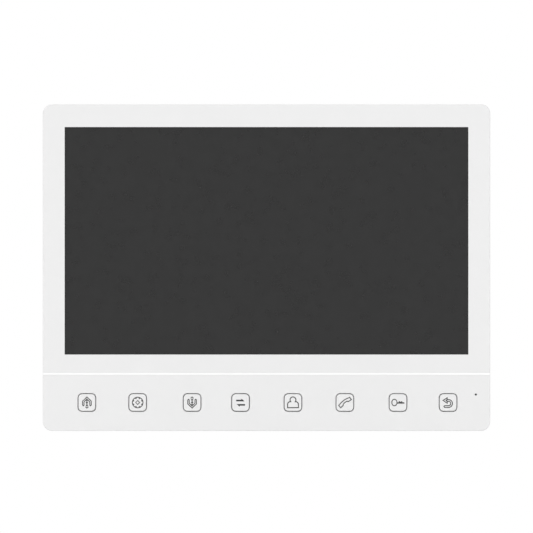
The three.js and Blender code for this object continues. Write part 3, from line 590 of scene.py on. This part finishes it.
def processor_parts(bodies, metal, ceramic):
    """Capacitors round the processor, and its crystal and memory chip beside it."""
    low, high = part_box("soc_chip")
    middle = (low + high) / 2
    count, pitch, thick = 6, 2.9 * MM, 0.8 * MM
    out = (high.x - low.x) / 2 + 2.4 * MM
    for i in range(count):
        along = (i - (count - 1) / 2) * pitch
        for side in (-1, 1):
            chip_component(ceramic, metal, middle.x + along, middle.z + side * out, True, thick)
            chip_component(ceramic, metal, middle.x + side * out, middle.z + along, False, thick)
    beside = middle.x - 18 * MM
    crystal_z, memory_z = middle.z + 4 * MM, middle.z - 4 * MM
    brick(metal, beside, crystal_z, 5 * MM, 3.2 * MM, BOARD_FOOT, BOARD_BACK + 1.1 * MM)
    legged_chip(bodies, metal, beside, memory_z, 5.2 * MM, 6 * MM, 1.6 * MM, pins=4)


def supply_parts(bodies, metal, ceramic):
    """The regulator, the audio amplifier and the small parts round the inductor."""
    low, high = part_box("power_inductor")
    legged_chip(bodies, metal, high.x + 9 * MM, high.z - 3 * MM, 4 * MM, 5 * MM, 1.5 * MM, pins=4)
    legged_chip(bodies, metal, low.x - 9 * MM, low.z - 22 * MM, 5.2 * MM, 8 * MM, 1.6 * MM, pins=8)
    for i in range(4):
        chip_component(bodies, metal, low.x - 14 * MM, low.z - (15 + 4 * i) * MM, False)
        chip_component(ceramic, metal, high.x + (6 + 3 * i) * MM, low.z - 4 * MM, True, 0.9 * MM)


def socket_parts(bodies, metal):
    """Three small parts above each bus socket."""
    for number in BUS_SOCKETS:
        low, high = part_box(f"bus_socket_{number}")
        for i in range(3):
            chip_component(bodies, metal, low.x + (3 + 3.2 * i) * MM, high.z + 3.2 * MM, True)


def main_board_parts():
    bodies, metal, ceramic = bmesh.new(), bmesh.new(), bmesh.new()
    processor_parts(bodies, metal, ceramic)
    supply_parts(bodies, metal, ceramic)
    socket_parts(bodies, metal)
    hardware("board_chips", bodies, "chip_plastic")
    hardware("board_terminals", metal, "capsule_can", 0.02 * MM)
    hardware("board_ceramics", ceramic, "ferrite")


def flex_connectors():
    """Low sockets that hold the ends of the flat cables, each with a latch over the cable."""
    shells, latches = bmesh.new(), bmesh.new()
    key_board_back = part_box("key_board")[1].y
    upper_end, lower_end = 1, -1
    ends = (
        ("lcd_flex", BOARD_BACK, upper_end),
        ("key_flex", BOARD_BACK, upper_end),
        ("key_flex", key_board_back, lower_end),
    )
    for node, board, end in ends:
        low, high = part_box(node)
        x, width = (low.x + high.x) / 2, high.x - low.x + 0.6 * MM
        z = high.z if end == upper_end else low.z
        shell_y = (board - SINK, board + 1.1 * MM)
        latch_y = (board + 0.75 * MM, board + 1.3 * MM)
        brick(shells, x, z + end * 1.2 * MM, width, 2.8 * MM, *shell_y)
        brick(latches, x, z - end * 0.5 * MM, width - 1 * MM, 0.8 * MM, *latch_y)
    hardware("flex_sockets", shells, "socket_nylon", 0.08 * MM)
    hardware("flex_latches", latches, "chip_plastic", 0.08 * MM)


def microphone_felt():
    """A black felt disc in the sound hole, in front of the microphone."""
    low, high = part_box("mic_capsule")
    middle = (low + high) / 2
    mesh = bmesh.new()
    prism(mesh, circle(middle.x, middle.z, FELT_RADIUS, 24), low.y - FELT_DEPTH, low.y + SINK / 2)
    hardware("mic_felt", mesh, "gasket_foam")


def tray_screws():
    """One screw in each ear of the display tray."""
    low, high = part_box("lcd_tray")
    ear_x = (low.x + TRAY_SCREW_INSET, high.x - TRAY_SCREW_INSET)
    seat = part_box("backlight_unit")[1].y + TRAY_BEHIND_BACKLIGHT
    screws("tray_screws", [(x, z) for x in ear_x for z in TRAY_SCREW_Z], seat, **TRAY_SCREW)


for bus in BUS_SOCKETS:
    socket_pins(f"bus_socket_{bus}", 4)
socket_pins("power_socket", 2)
screws("board_screws", corners_inside("main_board", BOARD_SCREW_INSET), BOARD_BACK, **BOARD_SCREW)
tray_screws()
main_board_parts()
flex_connectors()
microphone_felt()

# ---------------------------------------------------------------- symbols printed on the keys

INK_THICKNESS = 0.03 * MM
# Widths of the symbols' lines, in millimetres like the symbols' points
THIN = 0.42
FINE = 0.5
MEDIUM = 0.52
BOLD = 0.56
SHARPEST_MITRE = 0.45  # least cosine between a corner's mitre and its line, which keeps the corner short


def slab(mesh, outline, face_y, place):
    """A flat polygon of ink that stands on the key's face."""
    points = [(place.x + x * MM, place.z + z * MM) for x, z in outline]
    prism(mesh, points, face_y - INK_THICKNESS, face_y + INK_THICKNESS)


def offsets(points, closed, half):
    """The points moved half a line's width to each side, mitred at the corners."""
    count = len(points)
    left, right = [], []
    for i, point in enumerate(points):
        directions = []
        if closed or i > 0:
            directions.append((point - points[i - 1]).normalized())
        if closed or i < count - 1:
            directions.append((points[(i + 1) % count] - point).normalized())
        along = sum(directions, Vector((0, 0))).normalized()
        across = Vector((-along.y, along.x))
        normal = Vector((-directions[0].y, directions[0].x))
        reach = half / max(across.dot(normal), SHARPEST_MITRE)
        left.append(point + across * reach)
        right.append(point - across * reach)
    return left, right


def stroke(mesh, points, width, face_y, place, closed=False):
    """A line of ink along the points, one four-sided slab for each straight stretch."""
    vectors = [Vector(point) for point in points]
    left, right = offsets(vectors, closed, width / 2)
    count = len(vectors)
    sides = [[(place.x + point.x * MM, place.z + point.y * MM) for point in side] for side in (left, right)]
    front_left, front_right = (ring_at(mesh, side, face_y - INK_THICKNESS) for side in sides)
    back_left, back_right = (ring_at(mesh, side, face_y + INK_THICKNESS) for side in sides)
    for i in range(count if closed else count - 1):
        j = (i + 1) % count
        mesh.faces.new((front_left[i], front_right[i], front_right[j], front_left[j]))
        mesh.faces.new((back_left[j], back_right[j], back_right[i], back_left[i]))
        mesh.faces.new((front_left[j], back_left[j], back_left[i], front_left[i]))
        mesh.faces.new((front_right[i], back_right[i], back_right[j], front_right[j]))
    if not closed:
        mesh.faces.new((front_left[0], back_left[0], back_right[0], front_right[0]))
        mesh.faces.new((front_right[-1], back_right[-1], back_left[-1], front_left[-1]))


def arc(cx, cz, radius, start, end, steps, squeeze=1.0):
    """Points round a centre, angles in degrees, with X squeezed for an ellipse."""
    angles = [math.radians(start + (end - start) * i / steps) for i in range(steps + 1)]
    return [(cx + squeeze * radius * math.cos(a), cz + radius * math.sin(a)) for a in angles]


def loop(cx, cz, radius, steps, squeeze=1.0):
    """Points once round a centre, without the first one again."""
    return arc(cx, cz, radius, 0, 360, steps, squeeze)[:-1]


def diamond(cx, cz, half):
    return [(cx + half, cz), (cx, cz + half), (cx - half, cz), (cx, cz - half)]


def arrow_icon(mesh, face_y, place, up):
    """A chevron with legs, in outline, over a dotted stem and a small foot."""
    def turned(points):
        return points if up else [(x, -z) for x, z in points]

    outer = [(-2.15, -1.75), (-2.4, -1.2), (-2.4, 0.75), (0, 3.05), (2.4, 0.75), (2.4, -1.2), (2.15, -1.75)]
    inner = [(-1.75, -1.75), (-1.6, -1.2), (-1.6, 0.35), (0, 1.95), (1.6, 0.35), (1.6, -1.2), (1.75, -1.75)]
    stroke(mesh, turned(outer + inner[::-1]), FINE, face_y, place, closed=True)
    for z, half in ((0.95, 0.55), (-0.1, 0.76), (-1.5, 0.76)):
        slab(mesh, turned(diamond(0, z, half)), face_y, place)
    stroke(mesh, turned([(-0.8, -2.3), (0, -3.05), (0.8, -2.3)]), FINE, face_y, place)


def icon_up(mesh, face_y, place):
    arrow_icon(mesh, face_y, place, up=True)


def icon_down(mesh, face_y, place):
    arrow_icon(mesh, face_y, place, up=False)


def icon_settings(mesh, face_y, place):
    """A ring with eight teeth that point inwards, and a small diamond."""
    teeth, ring, root, tip = 8, 2.92, 2.8, 1.95
    half_tooth = math.radians(13)
    stroke(mesh, loop(0, 0, ring, 48), FINE, face_y, place, closed=True)
    for i in range(teeth):
        middle = 2 * math.pi * (i + 0.5) / teeth
        corners = ((root, middle - half_tooth), (root, middle + half_tooth), (tip, middle))
        tooth = [(radius * math.cos(angle), radius * math.sin(angle)) for radius, angle in corners]
        slab(mesh, tooth, face_y, place)
    stroke(mesh, diamond(0, 0, 1.1), THIN, face_y, place, closed=True)


def icon_switch(mesh, face_y, place):
    """Two half arrows that pass each other."""
    half_arrow = [(-2.45, 0.76), (2.2, 0.76), (0.75, 2.05), (0.4, 2.05), (0.4, 1.62), (-2.45, 1.62)]
    middle = -0.1
    slab(mesh, [(x, middle + z) for x, z in half_arrow], face_y, place)
    slab(mesh, [(-x, middle - z) for x, z in half_arrow], face_y, place)


def icon_person(mesh, face_y, place):
    """A plain head and shoulders in outline."""
    head = arc(0, 1.45, 1.62, -38, 218, 22)
    left = [(-1.9, 0.42), (-2.6, 0.05), (-2.98, -0.75), (-2.98, -2.85)]
    right = [(-x, z) for x, z in left[::-1]]
    stroke(mesh, head + left + right, BOLD, face_y, place, closed=True)


def icon_call(mesh, face_y, place):
    """A telephone handset in outline, on the slant."""
    upper = [(-3.4, -1.62), (-1.8, 0.2), (0.1, 1.7), (2.65, 2.85)]
    lower = [(3.6, 1.65), (1.9, 0.5), (1.1, 0.72), (0.0, 0.05), (-0.9, -0.9), (-0.95, -1.6), (-2.3, -2.85)]
    stroke(mesh, upper + lower, MEDIUM, face_y, place, closed=True)


def icon_unlock(mesh, face_y, place):
    """A key: a round bow in outline, and a filled shaft with two teeth."""
    stroke(mesh, loop(-2.0, 0, 1.78, 28, squeeze=0.8), MEDIUM, face_y, place, closed=True)
    shaft = [
        (-0.5, -0.62), (3.35, -0.62), (3.6, -0.15), (3.2, 0.2), (2.6, 0.1), (2.25, 0.72), (1.75, 0.72),
        (1.5, 0.4), (1.3, 0.4), (1.1, 0.72), (0.55, 0.72), (0.2, 0.1), (-0.5, 0.0),
    ]
    slab(mesh, shaft, face_y, place)


def icon_return(mesh, face_y, place):
    """An arrow in outline that turns back on itself."""
    outside = arc(0.25, -0.55, 2.15, 90, -90, 14)
    inside = arc(0.25, -0.55, 1.2, -90, 90, 10)
    head = [(-0.5, 0.65), (-0.5, -0.35), (-2.75, 1.15), (-0.5, 2.65), (-0.5, 1.6)]
    bar = [(-1.95, -2.7), (-2.3, -2.22), (-1.95, -1.75)]
    stroke(mesh, outside + bar + inside + head, MEDIUM, face_y, place, closed=True)
    slab(mesh, [(-1.5, 1.15), (-0.5, 0.3), (-0.5, 2.0)], face_y, place)


DARK_INK = ink("ink_dark", 0.012)
GREY_INK = ink("ink_grey", 0.05)
ICONS = {
    "up": (icon_up, GREY_INK),
    "settings": (icon_settings, GREY_INK),
    "down": (icon_down, GREY_INK),
    "switch": (icon_switch, DARK_INK),
    "person": (icon_person, GREY_INK),
    "call": (icon_call, GREY_INK),
    "unlock": (icon_unlock, GREY_INK),
    "return": (icon_return, GREY_INK),
}

for key_name in KEY_NAMES:
    low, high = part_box("keycap_" + key_name)
    draw, material = ICONS[key_name]
    symbol = bmesh.new()
    draw(symbol, low.y, (low + high) / 2)
    bmesh.ops.recalc_face_normals(symbol, faces=symbol.faces)
    mesh_piece("symbol_" + key_name, symbol, material, "key_" + key_name)

# ---------------------------------------------------------------- studio

VIEW_WIDTH = 293.8 * MM
AIM_ABOVE_MIDDLE = 0.58 * MM
CAMERA_DISTANCE = 1.2
BACKDROP = 1.0  # radiance straight behind the object
SKY = 0.5
ZENITH = 0.72
ZENITH_HEIGHTS = (-0.2, 1.0)  # of a direction's Z, over which the sky turns brighter
BACKDROP_DEPTHS = (0.93, 0.99)  # of a direction's Y, over which it turns into the backdrop
FLOOR_BELOW = 42 * MM
FLOOR_REACH = 25  # far enough that the views look over none of its edges
FLOOR_SHADES = (grey(0.84), grey(0.87))
# Name, direction towards the light, strength, and spread in degrees
SUNS = (
    ("key_light", (-0.4, -1.0, 0.5), 1.05, 50),
    ("fill_light", (0.8, -0.8, 0.25), 0.45, 70),
    ("back_light", (-0.25, 0.45, 1.0), 0.5, 50),
)


def studio_floor():
    mesh = bmesh.new()
    bmesh.ops.create_grid(mesh, x_segments=8, y_segments=8, size=FLOOR_REACH)
    data = bpy.data.meshes.new("studio_floor")
    mesh.to_mesh(data)
    mesh.free()
    floor = bpy.data.objects.new("studio_floor", data)
    floor.location.z = cad_low.z - FLOOR_BELOW
    bpy.context.scene.collection.objects.link(floor)
    surface = Surface("studio_floor", 0.7)
    surface.colour(surface.mixed(surface.noise(400 * MM, 3), *FLOOR_SHADES))
    surface.relief(surface.noise(2 * MM, 3), 0.02 * MM)
    data.materials.append(surface.material)


def studio_sky():
    """A pale surround, brighter overhead, with a white backdrop straight behind the object."""
    world = bpy.data.worlds.new("studio")
    bpy.context.scene.world = world
    world.use_nodes = True
    tree = world.node_tree
    background = tree.nodes["Background"]
    direction = tree.nodes.new("ShaderNodeTexCoord")
    axes = tree.nodes.new("ShaderNodeSeparateXYZ")
    tree.links.new(direction.outputs["Generated"], axes.inputs[0])

    def ramp(value, start_to_end, low, high):
        """A smooth step from one level to another; a level may be another ramp."""
        level = tree.nodes.new("ShaderNodeMapRange")
        level.interpolation_type = "SMOOTHSTEP"
        level.inputs["From Min"].default_value, level.inputs["From Max"].default_value = start_to_end
        tree.links.new(value, level.inputs["Value"])
        level.inputs["To Max"].default_value = high
        if isinstance(low, float):
            level.inputs["To Min"].default_value = low
        else:
            tree.links.new(low, level.inputs["To Min"])
        return level.outputs["Result"]

    overhead = ramp(axes.outputs["Z"], ZENITH_HEIGHTS, SKY, ZENITH)
    strength = ramp(axes.outputs["Y"], BACKDROP_DEPTHS, overhead, BACKDROP)
    tree.links.new(strength, background.inputs["Strength"])
    background.inputs["Color"].default_value = (1, 1, 1, 1)


def soft_sun(name, direction, strength, spread):
    """Parallel soft light from a direction, so that a flat face is lit evenly."""
    light = bpy.data.lights.new(name, "SUN")
    light.energy = strength
    light.angle = math.radians(spread)
    lamp = bpy.data.objects.new(name, light)
    lamp.rotation_mode = "QUATERNION"
    lamp.rotation_quaternion = Vector(direction).to_track_quat("Z", "Y")
    bpy.context.scene.collection.objects.link(lamp)


def camera():
    data = bpy.data.cameras.new("camera")
    data.type = "ORTHO"
    data.ortho_scale = VIEW_WIDTH
    made = bpy.data.objects.new("camera", data)
    middle_z = (cad_low.z + cad_high.z) / 2
    made.location = (0, -CAMERA_DISTANCE, middle_z + AIM_ABOVE_MIDDLE)
    made.rotation_euler = (math.radians(90), 0, 0)
    bpy.context.scene.collection.objects.link(made)
    bpy.context.scene.camera = made


studio_floor()
studio_sky()
for sun in SUNS:
    soft_sun(*sun)
camera()
bpy.context.scene.view_settings.view_transform = "Standard"
